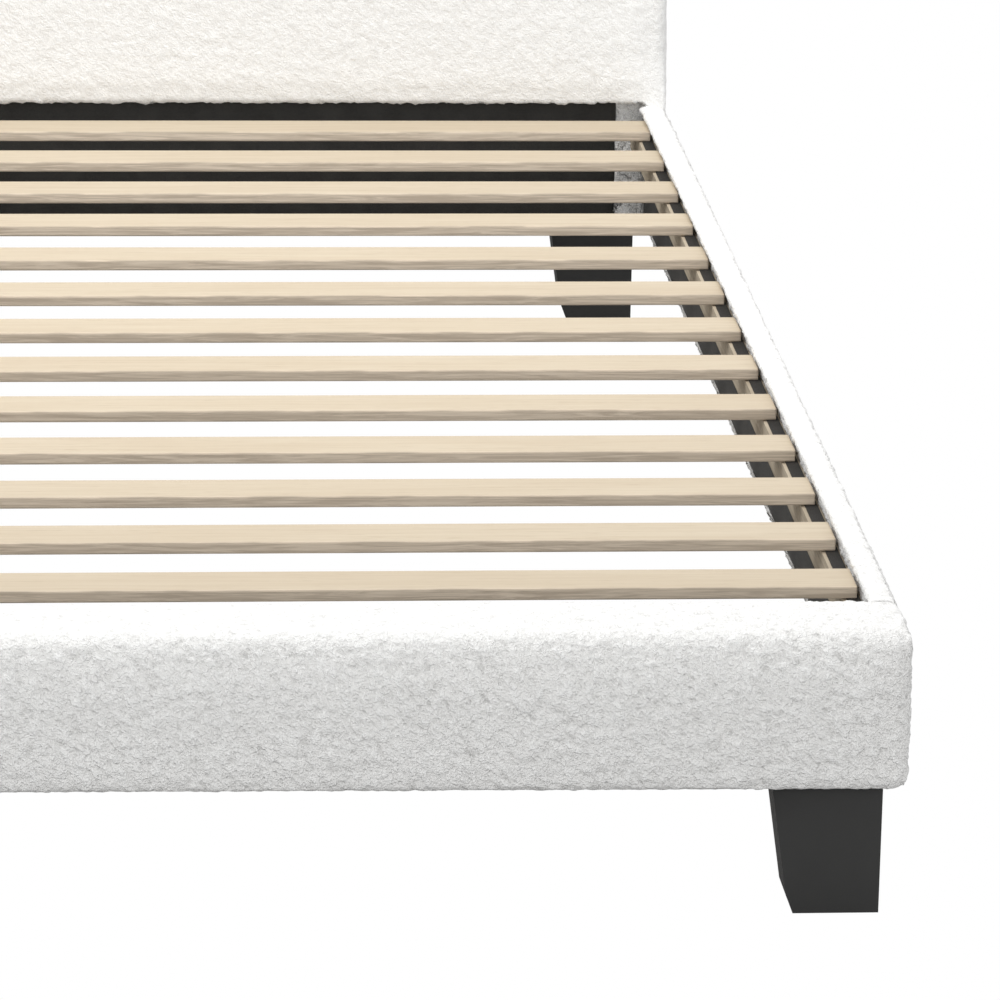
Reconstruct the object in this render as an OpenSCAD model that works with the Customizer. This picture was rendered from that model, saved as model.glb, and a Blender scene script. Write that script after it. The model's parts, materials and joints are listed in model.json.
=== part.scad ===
// Upholstered bed base with a padded headboard, for a 1800 x 2000 mm mattress.
// X runs across the bed, +Y runs from the foot to the headboard, +Z is up.
// The origin is on the floor under the middle of the footprint.

/* [Overall] */
// Outside width over the upholstered side rails
bed_w = 1860; // [1560:10:1900]
// Clear length between the foot rail and the headboard pad
inner_l = 2005; // [1905:5:2105]
// Height of the headboard top above the floor
head_h = 900; // [760:10:1100]
// Clear height under the rails, which is the height of the corner legs
leg_h = 132; // [110:1:160]

/* [Rails] */
// Height of the side rails and the foot rail, with their covering
rail_h = 148; // [140:1:180]
// Thickness of a side rail, with its covering
side_t = 25; // [23:0.5:30]
// Depth of the foot rail from its front to its inner face
foot_d = 105; // [95:1:120]
// Radius of the foot rail's padded top front edge
foot_edge_r = 22; // [16:1:26]
// Radius of the foot rail's two front corners, seen from above
foot_corner_r = 16; // [10:1:17]
// Radius of a side rail's lower outside edge and upper inside edge
side_edge_r = 6; // [4:0.5:8]
// Radius of a side rail's upper outside edge
side_top_r = 14; // [8:0.5:15]
// Width of the covering turned down inside the rails
turn_in = 24; // [18:1:28]
// Wall thickness of the hollow foot rail box
box_t = 15; // [12:1:18]

/* [Headboard] */
// Depth of the headboard from its padded face to its back
head_d = 110; // [100:1:130]
// Distance from the padded face back to the lower panel
head_step = 22; // [16:1:26]
// Height of the pad's lower edge above the rail tops
pad_gap = 10; // [6:1:20]
// Radius of the pad's front and top edges
head_edge_r = 14; // [10:1:16]
// Width of the covered margin at each side of the lower panel
head_margin = 59; // [50:1:70]
// Thickness of the plywood face board
face_board_t = 5; // [4:0.5:9]
// Height of each cross rail and width of each stile
head_timber = 40; // [30:1:50]

/* [Covering] */
// Thickness of the looped fabric
boucle_t = 3.5; // [2.5:0.1:4.5]
// Thickness of the lining cloth
lining_t = 1; // [0.6:0.1:1.2]
// Thickness of the foam on the front of the foot rail
foot_foam_front = 14; // [14:1:18]
// Thickness of the foam on the top of the foot rail
foot_foam_top = 8; // [6:1:10]

/* [Slats] */
// Number of slats in each of the two rows
slat_n = 13; // [9:1:13]
// Width of a slat along the bed
slat_w = 60; // [45:1:70]
// Thickness of a slat
slat_t = 12; // [9:0.5:14]
// Distance from one slat to the next
slat_pitch = 153.4; // [140:0.1:154]
// Distance from the foot rail's inner face to the first slat
slat_start = 84; // [40:1:90]
// Gap between a slat's end and the side rail
slat_end_gap = 3; // [2:0.5:6]
// Gap between the two rows over the middle of the beam
row_gap = 10; // [6:1:20]
// Depth of the slats' top faces below the rail tops
slat_sink = 13; // [8:1:13]

/* [Ledges] */
// Width of the ledge under the slat ends
ledger_w = 19; // [16:0.5:24]
// Height of the ledge
ledger_h = 30; // [24:1:40]
// Width of the hook and loop tape
tape_w = 13; // [10:1:15]
// Thickness of the hook and loop tape
tape_t = 1.2; // [0.8:0.1:2]
// Number of screws that hold each ledge
ledger_screw_n = 7; // [5:1:9]

/* [Beam] */
// Width of the beam under the middle of the slats
beam_w = 70; // [50:1:80]
// Height of the beam
beam_h = 40; // [35:1:60]
// Wall thickness of the steel seats that hold the beam's ends
seat_t = 2.5; // [2:0.5:4]
// Length of a seat along the beam
seat_l = 45; // [35:1:60]
// Number of legs under the beam
centre_leg_n = 3; // [2:1:3]

/* [Legs] */
// Width of a corner leg at its top
leg_top_w = 105; // [90:1:115]
// Width of a corner leg where its lower bevel starts
leg_low_w = 88; // [70:1:90]
// Width of a corner leg at the floor
leg_foot_w = 81; // [60:1:85]
// Height of the lower bevel
leg_bevel_h = 18; // [10:1:30]
// Thickness of a corner leg along the bed
leg_t = 50; // [40:1:54]
// Distance from the bed's side to a front leg
leg_in_front = 22; // [15:1:35]
// Distance from the bed's side to a headboard leg
leg_in_head = 33; // [15:1:40]
// Distance from the foot rail's front to a front leg
leg_set_front = 20; // [18:1:30]
// Diameter of a leg bolt
bolt_d = 8; // [6:1:10]

/* [Hidden] */
$fn = 48;
eps = 0.01;
fit = 0.3;
sides = ["left", "right"];
function side_sign(side) = side == "left" ? -1 : 1;
function two_digits(i) = i < 10 ? str("0", i) : str(i);
function slat_name(side, i) = str("slat_", side, "_", two_digits(i));

half_w = bed_w / 2;
bed_l = foot_d + inner_l + head_d;
foot_y = -bed_l / 2;
foot_in_y = foot_y + foot_d;
pad_y = foot_in_y + inner_l;
back_y = bed_l / 2;
low_y = pad_y + head_step;
rail_top = leg_h + rail_h;
pad_z = rail_top + pad_gap;

// Side rail
side_in_x = half_w - side_t;
board_in_x = side_in_x + boucle_t;
board_out_x = half_w - boucle_t;
board_z = leg_h + boucle_t;
board_top = rail_top - boucle_t;
lining_z = board_z + 4;
turn_z = rail_top - turn_in;

// Slats and what carries them
slat_z = rail_top - slat_sink - slat_t;
wood_z = slat_z - tape_t;
ledger_out_x = board_in_x - lining_t;
ledger_in_x = ledger_out_x - ledger_w;
ledger_end = 5;
slat_out_x = side_in_x - slat_end_gap;
beam_z = wood_z - beam_h;
beam_y0 = foot_in_y + 1;
beam_y1 = low_y - 2;
beam_tape_x = row_gap / 2 + 9;

// Foot rail
box_y0 = foot_y + boucle_t + foot_foam_front;
box_y1 = foot_in_y - boucle_t;
box_top = rail_top - boucle_t - foot_foam_top;
base_top = leg_h + 41;
end_block = 40;

// Headboard
face_board_y = low_y + 2;
timber_y = face_board_y + face_board_t;
timber_back = back_y - boucle_t;
timber_z = leg_h + lining_t;
timber_top = head_h - boucle_t;
timber_x = board_out_x - head_timber;
turn_back = 36;
crossrail_zs = [timber_z, wood_z - head_timber, (leg_h + head_h) / 2, timber_top - head_timber];

// Legs
leg_front_y = foot_y + leg_set_front;
leg_head_y = (low_y + back_y - leg_t) / 2;
leg_bolt_in = 40;
bolt_head_h = 5.5;
centre_leg_r = 25;
centre_foot_r = 20;
centre_pad_h = 6;
stud_l = 60;
stud_in_beam = 28;

// Rail hooks, let into the ends of the side rails
hook_plate_t = 2;
hook_plate_w = 12;
hook_plate_h = 110;
hook_reach = 12;
hook_h = 25;
hook_pitch = 60;
hook_x = (board_in_x + board_out_x) / 2;
hook_z = (board_z + board_top) / 2;

// Wood screws
screw_d = 4;
screw_l = 34;
screw_head_d = 8;
screw_head_h = 2.6;
seat_plate_w = 120;
seat_plate_h = 48;
seat_screw_x = 48;
seat_screw_z = beam_z + 22;
seat_head_y = low_y + 1;

// Points of an arc about [cx, cy], from angle a0 to a1
function arc(cx, cy, r, a0, a1, n = 6) =
    [for (i = [0 : n]) let (a = a0 + (a1 - a0) * i / n) [cx + r * cos(a), cy + r * sin(a)]];

// A box from one corner to the other
module span_box(low, high) {
    translate(low) cube(high - low);
}

// A rectangle whose lower left, lower right, upper right and upper left corners have radii r
module soft_rect(x0, y0, x1, y1, r) {
    polygon(concat(
        arc(x0 + r[0], y0 + r[0], r[0], 180, 270),
        arc(x1 - r[1], y0 + r[1], r[1], 270, 360),
        arc(x1 - r[2], y1 - r[2], r[2], 0, 90),
        arc(x0 + r[3], y1 - r[3], r[3], 90, 180)
    ));
}

// Extrudes a section drawn as [y, z] across the bed, from x0 to x1
module along_x(x0, x1) {
    translate([x0, 0, 0]) rotate([90, 0, 90]) linear_extrude(height = x1 - x0) children();
}

// Extrudes a section drawn as [x, z] along the bed, from y0 to y1
module along_y(y0, y1) {
    translate([0, y1, 0]) rotate([90, 0, 0]) linear_extrude(height = y1 - y0) children();
}

// Places a child made for the right side on the given side
module on_side(side) {
    mirror([side == "left" ? 1 : 0, 0, 0]) children();
}

// The foot rail's outside shape, drawn in by inset
module foot_shape(inset) {
    top_r = foot_edge_r - inset;
    low_r = 8 - inset;
    corner_r = foot_corner_r - inset;
    y0 = foot_y + inset;
    x1 = half_w - inset;
    intersection() {
        along_x(-half_w, half_w)
            soft_rect(y0, leg_h + inset, foot_in_y, rail_top - inset, [low_r, 1, 4, top_r]);
        translate([0, 0, leg_h - 1]) linear_extrude(height = rail_h + 2)
            soft_rect(-x1, y0, x1, foot_in_y, [corner_r, corner_r, 1, 1]);
    }
}

// The headboard pad's outside shape, drawn in by inset
module pad_shape(inset) {
    edge_r = head_edge_r - inset;
    y0 = pad_y + inset;
    x1 = half_w - inset;
    intersection() {
        along_x(-half_w, half_w)
            soft_rect(y0, pad_z + inset, back_y, head_h - inset, [4, 1, 4, edge_r]);
        translate([0, 0, pad_z - 1]) linear_extrude(height = head_h - pad_z + 2)
            soft_rect(-x1, y0, x1, back_y, [edge_r, edge_r, 3, 3]);
    }
}

// The solid inside the headboard's covering, behind the face board's front
module head_core(low) {
    span_box([-board_out_x, face_board_y, low], [board_out_x, timber_back, timber_top]);
}

// Slots for the rail hooks, at the end of a right side rail
module hook_slots(y) {
    for (k = [-1, 1])
        translate([hook_x, y, hook_z + k * hook_pitch / 2])
            cube([3.6, 2 * hook_reach + 2, hook_h + 1], center = true);
}

module both_sides() {
    for (side = sides) on_side(side) children();
}

module headboard_cover() {
    low_z = leg_h;
    color([0.95, 0.94, 0.92])
    difference() {
        union() {
            pad_shape(0);
            both_sides()
                span_box([half_w - head_margin, low_y, low_z], [half_w, back_y, pad_z + eps]);
        }
        intersection() {
            pad_shape(boucle_t);
            span_box([-half_w, pad_y, pad_z], [half_w, timber_back, head_h]);
        }
        head_core(low_z - 1);
        span_box(
            [-board_out_x + turn_back, timber_back - 1, low_z - 1],
            [board_out_x - turn_back, back_y + 1, timber_top - turn_back]);
        both_sides() hook_slots(low_y);
    }
}

module headboard_foam() {
    color([0.93, 0.90, 0.74])
    intersection() {
        pad_shape(boucle_t);
        span_box([-half_w, pad_y, pad_z], [half_w, face_board_y, head_h]);
    }
}

module headboard_face_board() {
    color([0.80, 0.68, 0.50])
    difference() {
        span_box([-board_out_x, face_board_y, timber_z], [board_out_x, timber_y, timber_top]);
        both_sides() hook_slots(low_y);
        for (x = [-seat_screw_x, seat_screw_x])
            screw_hole([x, seat_head_y - seat_t, seat_screw_z], [-90, 0, 0]);
    }
}

module headboard_stile(side) {
    color([0.84, 0.72, 0.52])
    on_side(side)
    difference() {
        span_box([timber_x, timber_y, timber_z], [board_out_x, timber_back, timber_top]);
        hook_slots(low_y);
    }
}

module headboard_crossrails() {
    color([0.84, 0.72, 0.52])
    difference() {
        for (z = crossrail_zs)
            span_box([-timber_x, timber_y, z], [timber_x, timber_back, z + head_timber]);
        both_sides() leg_bolt_hole(leg_in_head, leg_head_y);
        for (x = [-seat_screw_x, seat_screw_x])
            screw_hole([x, seat_head_y - seat_t, seat_screw_z], [-90, 0, 0]);
    }
}

module headboard_lower_lining() {
    edge = half_w - head_margin;
    color([0.13, 0.12, 0.12])
    difference() {
        span_box([-edge, seat_head_y, timber_z], [edge, face_board_y, pad_z]);
        for (x = [-seat_screw_x, seat_screw_x])
            screw_hole([x, seat_head_y - seat_t, seat_screw_z], [-90, 0, 0]);
    }
}

module headboard_back_lining() {
    edge = board_out_x - turn_back;
    color([0.13, 0.12, 0.12])
    difference() {
        union() {
            span_box([-edge, timber_back, leg_h], [edge, timber_back + lining_t, timber_top - turn_back]);
            span_box([-board_out_x, face_board_y, leg_h], [board_out_x, timber_back + eps, timber_z]);
        }
        both_sides() leg_bolt_hole(leg_in_head, leg_head_y);
    }
}

module foot_rail_cover() {
    color([0.95, 0.94, 0.92])
    difference() {
        foot_shape(0);
        intersection() {
            foot_shape(boucle_t);
            span_box([-half_w, foot_y, leg_h], [half_w, box_y1, rail_top]);
        }
        span_box([-board_out_x, box_y1 - 1, lining_z], [board_out_x, foot_in_y + 1, turn_z]);
        both_sides() leg_bolt_hole(leg_in_front, leg_front_y);
    }
}

module foot_rail_foam() {
    color([0.93, 0.90, 0.74])
    difference() {
        foot_shape(boucle_t);
        span_box([-half_w, box_y0, leg_h], [half_w, foot_in_y + 1, box_top]);
        span_box([-half_w, box_y1, leg_h], [half_w, foot_in_y + 1, rail_top]);
    }
}

module foot_rail_box() {
    color([0.80, 0.68, 0.50])
    difference() {
        span_box([-board_out_x, box_y0, board_z], [board_out_x, box_y1, box_top]);
        span_box(
            [-board_out_x + end_block, box_y0 + box_t, base_top],
            [board_out_x - end_block, box_y1 - box_t, box_top - box_t]);
        both_sides() leg_bolt_hole(leg_in_front, leg_front_y);
        both_sides() hook_slots(foot_in_y);
        for (x = [-seat_screw_x, seat_screw_x])
            screw_hole([x, box_y1 + lining_t + seat_t, seat_screw_z], [90, 0, 0]);
    }
}

module foot_rail_lining() {
    color([0.13, 0.12, 0.12])
    difference() {
        span_box([-board_out_x, box_y1, lining_z], [board_out_x, box_y1 + lining_t, turn_z]);
        both_sides() hook_slots(foot_in_y);
        for (x = [-seat_screw_x, seat_screw_x])
            screw_hole([x, box_y1 + lining_t + seat_t, seat_screw_z], [90, 0, 0]);
    }
}

// Section of a side rail's board, eased along its upper outside edge
module side_board_section() {
    r = side_top_r - boucle_t;
    polygon(concat(
        [[board_in_x, board_z], [board_out_x, board_z]],
        arc(board_out_x - r, board_top - r, r, 0, 90),
        [[board_in_x, board_top]]
    ));
}

// Section of a side rail's covering: it goes round the board and stops short inside
module side_cover_section() {
    r = side_edge_r;
    difference() {
        soft_rect(side_in_x, leg_h, half_w, rail_top, [3, r, side_top_r, r]);
        side_board_section();
        translate([side_in_x - 1, lining_z]) square([boucle_t + 1 + eps, turn_z - lining_z]);
    }
}

module side_rail_cover(side) {
    color([0.95, 0.94, 0.92])
    on_side(side) along_y(foot_in_y, low_y) side_cover_section();
}

module side_rail_board(side) {
    color([0.80, 0.68, 0.50])
    on_side(side)
    difference() {
        along_y(foot_in_y, low_y) side_board_section();
        for (y = [foot_in_y, low_y])
            translate([hook_x, y, hook_z])
                cube([hook_plate_w, 2 * hook_plate_t, hook_plate_h], center = true);
        for (y = ledger_screw_ys) screw_hole([board_out_x, y, ledger_screw_z], [0, -90, 0]);
    }
}

module side_rail_lining(side) {
    color([0.13, 0.12, 0.12])
    on_side(side)
    difference() {
        span_box([ledger_out_x, foot_in_y, lining_z], [board_in_x, low_y, turn_z]);
        for (y = ledger_screw_ys) screw_hole([board_out_x, y, ledger_screw_z], [0, -90, 0]);
    }
}

module ledger(side) {
    color([0.86, 0.77, 0.62])
    on_side(side)
    difference() {
        span_box(
            [ledger_in_x, foot_in_y + ledger_end, wood_z - ledger_h],
            [ledger_out_x, low_y - ledger_end, wood_z]);
        for (y = ledger_screw_ys) screw_hole([board_out_x, y, ledger_screw_z], [0, -90, 0]);
    }
}

module hook_tapes() {
    tape_y0 = foot_in_y + ledger_end;
    tape_y1 = low_y - ledger_end;
    color([0.06, 0.06, 0.06])
    both_sides()
        for (x = [side_in_x - tape_w, beam_tape_x])
            span_box([x, tape_y0, wood_z], [x + tape_w, tape_y1, slat_z]);
}

// Places the screws that hold a ledge, from outside the rail board
ledger_screw_z = wood_z - ledger_h / 2;
ledger_screw_step = (low_y - foot_in_y - 120) / (ledger_screw_n - 1);
ledger_screw_ys = [for (i = [0 : ledger_screw_n - 1]) foot_in_y + 60 + i * ledger_screw_step];

// A countersunk wood screw, head up at the origin, pointing down
module screw_shape() {
    translate([0, 0, -screw_l]) cylinder(d = screw_d, h = screw_l);
    translate([0, 0, -screw_head_h]) cylinder(d1 = screw_d, d2 = screw_head_d, h = screw_head_h);
}

module screw_hole(at, turn) {
    translate(at) rotate(turn) mirror([0, 0, 1]) screw_shape();
}

module wood_screws() {
    color([0.75, 0.75, 0.77]) {
        both_sides()
            for (y = ledger_screw_ys) screw_hole([board_out_x, y, ledger_screw_z], [0, -90, 0]);
        for (x = [-seat_screw_x, seat_screw_x]) {
            screw_hole([x, box_y1 + lining_t + seat_t, seat_screw_z], [90, 0, 0]);
            screw_hole([x, seat_head_y - seat_t, seat_screw_z], [-90, 0, 0]);
        }
    }
}

module centre_beam() {
    color([0.84, 0.72, 0.52])
    difference() {
        span_box([-beam_w / 2, beam_y0, beam_z], [beam_w / 2, beam_y1, wood_z]);
        for (y = centre_leg_ys)
            translate([0, y, beam_z - eps]) cylinder(d = bolt_d, h = stud_in_beam + eps);
    }
}

// A steel seat at the foot end, its plate against the face y
module beam_seat(y) {
    in_w = beam_w + 2 * fit;
    difference() {
        union() {
            span_box(
                [-seat_plate_w / 2, y, beam_z - fit - seat_t],
                [seat_plate_w / 2, y + seat_t, beam_z - seat_t + seat_plate_h - 6]);
            span_box(
                [-in_w / 2 - seat_t, y, beam_z - fit - seat_t],
                [in_w / 2 + seat_t, y + seat_l, beam_z + beam_h - 6]);
        }
        span_box([-in_w / 2, y + seat_t, beam_z - fit], [in_w / 2, y + seat_l + 1, wood_z]);
    }
}

module beam_seats() {
    color([0.12, 0.12, 0.13])
    difference() {
        union() {
            beam_seat(box_y1 + lining_t);
            translate([0, seat_head_y, 0]) mirror([0, 1, 0]) beam_seat(0);
        }
        for (x = [-seat_screw_x, seat_screw_x]) {
            screw_hole([x, box_y1 + lining_t + seat_t, seat_screw_z], [90, 0, 0]);
            screw_hole([x, seat_head_y - seat_t, seat_screw_z], [-90, 0, 0]);
        }
    }
}

centre_leg_ys = [for (i = [1 : centre_leg_n]) beam_y0 + (beam_y1 - beam_y0) * i / (centre_leg_n + 1)];

module centre_leg(i) {
    y = centre_leg_ys[i - 1];
    color([0.09, 0.09, 0.09])
    difference() {
        translate([0, y, 0]) union() {
            translate([0, 0, centre_pad_h])
                cylinder(r1 = centre_foot_r, r2 = centre_leg_r, h = beam_z - centre_pad_h);
            cylinder(r = centre_foot_r + 2, h = centre_pad_h);
        }
        translate([0, y, beam_z - stud_l + stud_in_beam]) cylinder(d = bolt_d, h = stud_l);
    }
}

module centre_leg_studs() {
    color([0.75, 0.75, 0.77])
    for (y = centre_leg_ys)
        translate([0, y, beam_z - stud_l + stud_in_beam]) cylinder(d = bolt_d, h = stud_l);
}

// Outline of a corner leg, seen from the front; its outer edge is upright at x1
module leg_outline(x1) {
    polygon([
        [x1 - leg_top_w, leg_h],
        [x1, leg_h],
        [x1, 0],
        [x1 - leg_foot_w, 0],
        [x1 - leg_low_w, leg_bevel_h]
    ]);
}

// The hole of a leg bolt, from inside the leg up to the bolt's head
module leg_bolt_hole(inset, y) {
    x = half_w - inset - leg_top_w / 2;
    translate([x, y + leg_t / 2, leg_h - leg_bolt_in])
        cylinder(d = bolt_d, h = leg_bolt_in + base_top - leg_h + eps);
}

module corner_leg(side, inset, y) {
    color([0.09, 0.09, 0.09])
    on_side(side)
    difference() {
        along_y(y, y + leg_t) leg_outline(half_w - inset);
        leg_bolt_hole(inset, y);
    }
}

module leg_bolt(inset, y) {
    x = half_w - inset - leg_top_w / 2;
    translate([x, y + leg_t / 2, leg_h - leg_bolt_in]) {
        cylinder(d = bolt_d, h = leg_bolt_in + base_top - leg_h);
        translate([0, 0, leg_bolt_in + base_top - leg_h])
            cylinder(d = 1.7 * bolt_d, h = bolt_head_h, $fn = 6);
    }
}

module leg_bolts() {
    color([0.75, 0.75, 0.77])
    both_sides() {
        leg_bolt(leg_in_front, leg_front_y);
        leg_bolt(leg_in_head, leg_head_y);
    }
}

// A hook plate at the end y of a right side rail; its hooks reach along way
module rail_hook(y, way) {
    translate([hook_x, y, hook_z]) {
        translate([0, -way * hook_plate_t / 2, 0])
            cube([hook_plate_w, hook_plate_t, hook_plate_h], center = true);
        for (k = [-1, 1])
            translate([0, way * hook_reach / 2, k * hook_pitch / 2])
                cube([3, hook_reach + 2 * eps, hook_h], center = true);
    }
}

module rail_hooks() {
    color([0.70, 0.70, 0.72])
    both_sides() {
        rail_hook(foot_in_y, -1);
        rail_hook(low_y, 1);
    }
}

module slat(side, i) {
    y = foot_in_y + slat_start + (i - 1) * slat_pitch;
    color([0.92, 0.85, 0.75])
    on_side(side)
        span_box([row_gap / 2, y, slat_z], [slat_out_x, y + slat_w, slat_z + slat_t]);
}

headboard_cover();
headboard_foam();
headboard_face_board();
headboard_stile("left");  // headboard_stile_left
headboard_stile("right");  // headboard_stile_right
headboard_crossrails();
headboard_lower_lining();
headboard_back_lining();
foot_rail_cover();
foot_rail_foam();
foot_rail_box();
foot_rail_lining();
for (side = sides) {
    side_rail_cover(side);
    side_rail_board(side);
    side_rail_lining(side);
    ledger(side);
}
hook_tapes();
centre_beam();
beam_seats();
for (i = [1 : centre_leg_n])
    centre_leg(i);
corner_leg("left", leg_in_front, leg_front_y);  // leg_front_left
corner_leg("right", leg_in_front, leg_front_y);  // leg_front_right
corner_leg("left", leg_in_head, leg_head_y);  // leg_head_left
corner_leg("right", leg_in_head, leg_head_y);  // leg_head_right
rail_hooks();
leg_bolts();
centre_leg_studs();
wood_screws();
for (side = sides)
    for (i = [1 : slat_n])
        slat(side, i);
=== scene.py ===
import itertools
import json
import math

import bpy
import numpy as np
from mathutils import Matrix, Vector, kdtree


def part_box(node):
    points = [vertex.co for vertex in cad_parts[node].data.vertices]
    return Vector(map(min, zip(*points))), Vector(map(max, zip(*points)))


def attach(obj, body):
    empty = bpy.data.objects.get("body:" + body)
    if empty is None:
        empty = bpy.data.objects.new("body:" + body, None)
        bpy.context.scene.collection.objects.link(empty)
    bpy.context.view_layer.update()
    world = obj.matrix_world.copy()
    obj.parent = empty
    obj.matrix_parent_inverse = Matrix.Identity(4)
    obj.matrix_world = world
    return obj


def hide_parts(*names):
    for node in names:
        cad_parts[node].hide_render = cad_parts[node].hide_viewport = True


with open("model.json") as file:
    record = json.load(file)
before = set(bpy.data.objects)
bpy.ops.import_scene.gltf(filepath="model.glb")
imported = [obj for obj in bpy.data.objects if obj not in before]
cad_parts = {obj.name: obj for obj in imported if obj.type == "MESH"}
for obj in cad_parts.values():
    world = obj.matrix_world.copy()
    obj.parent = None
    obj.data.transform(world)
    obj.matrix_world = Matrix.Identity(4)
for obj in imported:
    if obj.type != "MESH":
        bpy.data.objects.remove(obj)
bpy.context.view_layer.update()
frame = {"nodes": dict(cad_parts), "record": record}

# An upholstered headboard bed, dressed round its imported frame. Units are metres.
# X runs across the bed, +Y to the headboard, +Z up. The floor is at z = 0.

NODES = frame["nodes"]
MM = 0.001

# Looped fabric: how thick it is and how coarse its tufts are
BOUCLE_T = 3.5 * MM
TUFT_SIZE = 8 * MM
CLUMP_SIZE = 21 * MM
TUFT_HEIGHT = 3.3 * MM
CLUMP_HEIGHT = 1.7 * MM
DEEPEST_CREVICE = 0.55 * BOUCLE_T
SWAY = 1.6 * MM
FRINGE = 3.0 * MM
TUFT_LEAN = Vector((0.72, 0.1, -0.69)).normalized()
LEAN_STRETCH = 0.45
CORE_PILE = 0.3

# Grid cells of the looped skins
FOOT_PITCH = 3.1 * MM
SIDE_PITCH = 3.4 * MM
HEAD_PITCH = 4.4 * MM
CORE_PITCH = 60 * MM
TRIAL_PITCH = 15 * MM
LINING_PITCH = 9 * MM

CLOTH_FRAMES = 20

X, Y, Z = 0, 1, 2
LOW, HIGH = 0, 1


# ---- repeatable noise

def hashed(cells, seed):
    """A repeatable random number from 0 to 1 for each whole-number cell."""
    x, y, z = (cells[:, k].astype(np.int64) for k in range(3))
    mixed = (x * 374761393 + y * 668265263 + z * 1440662683 + seed * 974634777) & 0xFFFFFFFF
    mixed = ((mixed ^ (mixed >> 13)) * 1274126177) & 0xFFFFFFFF
    mixed = ((mixed ^ (mixed >> 15)) * 2246822519) & 0xFFFFFFFF
    return (mixed ^ (mixed >> 16)) / 4294967295.0


def smooth_noise(points, size, seed):
    """Soft noise from 0 to 1 that changes over the given size."""
    scaled = points / size
    base = np.floor(scaled)
    part = scaled - base
    part = part * part * (3 - 2 * part)
    total = np.zeros(len(points))
    for corner in itertools.product((0, 1), repeat=3):
        weight = np.prod(np.where(np.array(corner) == 1, part, 1 - part), axis=1)
        total += weight * hashed(base + corner, seed)
    return total


def warped(points, size, reach, seed):
    """The points shifted about by soft noise, so that a pattern on them is irregular."""
    shift = [smooth_noise(points, size, seed + k) - 0.5 for k in range(3)]
    return points + 2 * reach * np.stack(shift, axis=1)


def two_nearest(points, size, seed):
    """Distances, in cells, to the nearest and second nearest of one random spot per cell,
    and a random number from 0 to 1 that belongs to the nearest one."""
    scaled = points / size
    base = np.floor(scaled)
    first = np.full(len(points), 9.0)
    second = np.full(len(points), 9.0)
    own = np.zeros(len(points))
    for step in itertools.product((-1, 0, 1), repeat=3):
        cell = base + step
        spot = cell + np.stack([hashed(cell, seed + k) for k in range(3)], axis=1)
        gap = np.linalg.norm(scaled - spot, axis=1)
        own = np.where(gap < first, hashed(cell, seed + 3), own)
        second = np.minimum(second, np.maximum(first, gap))
        first = np.minimum(first, gap)
    return first, second, own


def smooth_step(value, low, high):
    t = np.clip((value - low) / (high - low), 0, 1)
    return t * t * (3 - 2 * t)


# ---- grids and skins

def grid_lines(stops, pitch):
    """Coordinates through all the stops, with cells no longer than pitch."""
    lines = [stops[0]]
    for low, high in zip(stops, stops[1:]):
        count = max(1, math.ceil((high - low) / pitch - 1e-6))
        lines += [low + (high - low) * (i + 1) / count for i in range(count)]
    return np.array(lines)


def quads_between(index, turned):
    """The quads between neighbours in a grid of point numbers, turned to face the other way
    if asked."""
    ring = [index[:-1, :-1], index[1:, :-1], index[1:, 1:], index[:-1, 1:]]
    if turned:
        ring.reverse()
    return np.stack([part.ravel() for part in ring], axis=1)


def box_skin(lines, keep):
    """The outside of a box as welded quads. keep(axis, side, middles) marks the quads that stay."""
    points, quads, start = [], [], 0
    for axis, side in itertools.product((X, Y, Z), (LOW, HIGH)):
        u, v = (axis + 1) % 3, (axis + 2) % 3
        shape = (len(lines[u]), len(lines[v]))
        face = np.empty(shape + (3,))
        face[..., u] = lines[u][:, None]
        face[..., v] = lines[v][None, :]
        face[..., axis] = lines[axis][-side]
        index = start + np.arange(shape[0] * shape[1]).reshape(shape)
        cells = quads_between(index, side == LOW)
        flat = face.reshape(-1, 3)
        middles = flat[cells - start].mean(axis=1)
        quads.append(cells[keep(axis, side, middles)])
        points.append(flat)
        start += len(flat)
    points, quads = np.concatenate(points), np.concatenate(quads)
    marks = np.round(points * 1e7).astype(np.int64)
    _, first, welded = np.unique(marks, axis=0, return_index=True, return_inverse=True)
    quads = welded.ravel()[quads]
    points = points[first]
    used, renumbered = np.unique(quads, return_inverse=True)
    return points[used], renumbered.reshape(quads.shape)


def round_edges(points, a, b, low, high, radii):
    """Rounds the edges that run across the plane of axes a and b. radii[side_a, side_b] is
    how far along each axis the rounding of the edge at that side of each axis reaches."""
    for (side_a, side_b), (reach_a, reach_b) in radii.items():
        toward_a, toward_b = 2 * side_a - 1, 2 * side_b - 1
        core_a = (low, high)[side_a][a] - toward_a * reach_a
        core_b = (low, high)[side_b][b] - toward_b * reach_b
        out_a = (points[:, a] - core_a) * toward_a / reach_a
        out_b = (points[:, b] - core_b) * toward_b / reach_b
        inside = (out_a > 1e-6) & (out_b > 1e-6)
        out_a, out_b = out_a[inside], out_b[inside]
        shrink = np.maximum(out_a, out_b) / np.hypot(out_a, out_b)
        points[inside, a] = core_a + toward_a * reach_a * out_a * shrink
        points[inside, b] = core_b + toward_b * reach_b * out_b * shrink


def even(radius):
    """A round edge that reaches the same way along both axes."""
    return radius, radius


def point_normals(points, faces):
    """The outward direction at each point."""
    across = points[faces[:, 2]] - points[faces[:, 0]]
    other = points[faces[:, 3]] - points[faces[:, 1]]
    face_normals = np.cross(across, other)
    normals = np.zeros_like(points)
    for k in range(4):
        for axis in range(3):
            normals[:, axis] += np.bincount(faces[:, k], face_normals[:, axis], len(points))
    return normals / np.maximum(np.linalg.norm(normals, axis=1, keepdims=True), 1e-12)


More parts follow.
